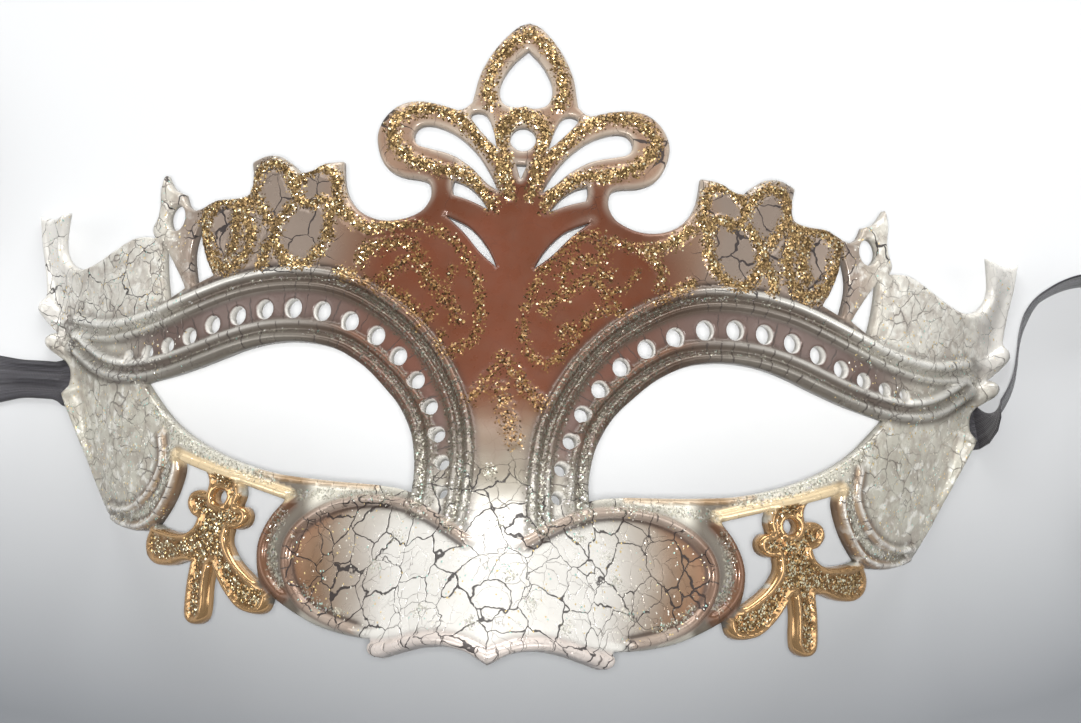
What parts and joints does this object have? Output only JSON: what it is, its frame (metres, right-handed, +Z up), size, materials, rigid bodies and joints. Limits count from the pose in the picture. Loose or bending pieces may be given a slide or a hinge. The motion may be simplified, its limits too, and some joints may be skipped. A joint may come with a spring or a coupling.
{
  "type": "masquerade mask",
  "caption": "Moulded half mask with a pierced scroll crown, double brow ridges over almond eye holes, side pendants and satin ribbon ties, lying face up.",
  "frame": {"origin": "on the resting plane, below the middle of the mask's bounding box", "axes": "+X towards the picture's right, across the face; +Y towards the crown; +Z up, out of the face's front"},
  "size_m": [0.333, 0.1176, 0.0654],
  "materials": {
    "shell": "pearl paint with a crackle coat, bronze airbrushing and gold glitter",
    "ribbon": "black satin"
  },
  "bodies": {
    "root": {"mask_shell": "shell", "ribbon_left": "ribbon", "ribbon_left_roll": "ribbon", "ribbon_right": "ribbon", "ribbon_right_roll": "ribbon"}
  },
  "joints": []
}
